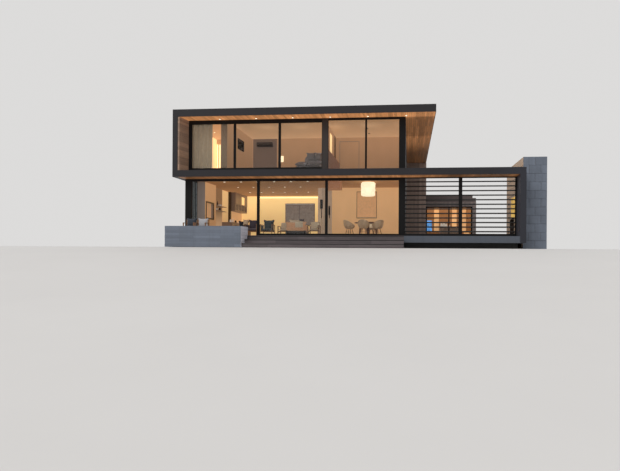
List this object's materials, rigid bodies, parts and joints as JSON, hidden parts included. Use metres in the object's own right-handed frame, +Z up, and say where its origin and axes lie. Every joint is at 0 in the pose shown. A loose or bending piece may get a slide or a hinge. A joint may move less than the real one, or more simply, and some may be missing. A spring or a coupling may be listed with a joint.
{
  "type": "modern beach house",
  "caption": "Two-storey flat-roofed beach house: a folded dark ribbon frames glazed floors, a slatted courtyard screen, a block chimney wall, steps and a planter.",
  "frame": {"origin": "on the ground under the middle of the ribbon's front face", "axes": "+X to the right along the front, +Y into the house, +Z up"},
  "size_m": [17.81, 18.69, 6.63],
  "materials": {
    "ribbon": "satin",
    "cedar": "oiled boards",
    "plaster": "matt",
    "concrete": "board marked",
    "dark_base": "matt",
    "floorboards": "satin",
    "weathered_timber": "weathered",
    "block": "honed",
    "black_steel": "satin",
    "dark_cladding": "matt",
    "dark_timber": "stained boards",
    "clear_glass": "clear",
    "cabinet_black": "satin",
    "lamp_shade": "glowing",
    "dark_wood": "satin",
    "shell_white": "satin",
    "beige_fabric": "woven",
    "dark_fabric": "woven",
    "canvas": "plain",
    "screen_black": "gloss",
    "curtain_fabric": "soft",
    "grey_fabric": "woven"
  },
  "bodies": {
    "house": {"roof_slab": "ribbon", "roof_soffit": "cedar", "left_ribbon_wall": "ribbon", "left_reveal_lining": "cedar", "floor_band": "ribbon", "band_soffit": "cedar", "upper_floor": "plaster", "right_ribbon_leg": "ribbon", "terrace_slab": "concrete", "plinth": "dark_base", "ground_floor": "floorboards", "front_deck": "weathered_timber", "step_lower": "weathered_timber", "step_upper": "weathered_timber", "planter_box": "concrete", "chimney_wall": "block", "chimney_firebox": "black_steel", "screen_posts": "black_steel", "screen_blades_left": "black_steel", "screen_blades_right": "black_steel", "left_wall_lower": "dark_cladding", "side_wall_lower": "dark_cladding", "side_wall_upper": "dark_cladding", "rear_wall_lower": "dark_cladding", "rear_wall_upper": "dark_cladding", "timber_wall": "dark_timber", "upper_window_frame": "black_steel", "upper_window_glass": "clear_glass", "lower_window_frame": "black_steel", "lower_window_glass": "clear_glass", "side_window_frames": "black_steel", "rear_window_frames": "black_steel", "side_window_glass": "clear_glass", "wing_roof": "ribbon", "wing_walls": "dark_timber", "lower_partitions": "plaster", "upper_partitions": "plaster", "ceiling_box": "dark_timber", "hearth_pier": "plaster", "kitchen_cabinets": "cabinet_black", "pendant_lamp": "lamp_shade", "dining_table": "dark_wood", "dining_chairs": "shell_white", "living_sofa": "beige_fabric", "armchairs": "dark_fabric", "lounge_chairs": "cedar", "deck_chairs": "dark_fabric", "picture_board": "canvas", "bedroom_screen": "screen_black", "living_screens": "screen_black", "air_unit": "dark_cladding", "upper_curtain": "curtain_fabric", "bedroom_couch": "grey_fabric"},
    "sliding_door": {"sliding_door_frame": "black_steel", "sliding_door_glass": "clear_glass"}
  },
  "joints": [
    {"name": "sliding_door_slide", "type": "slide", "parent": "house", "child": "sliding_door", "axis": [-1, 0, 0], "range_m": [0, 3.32]}
  ]
}
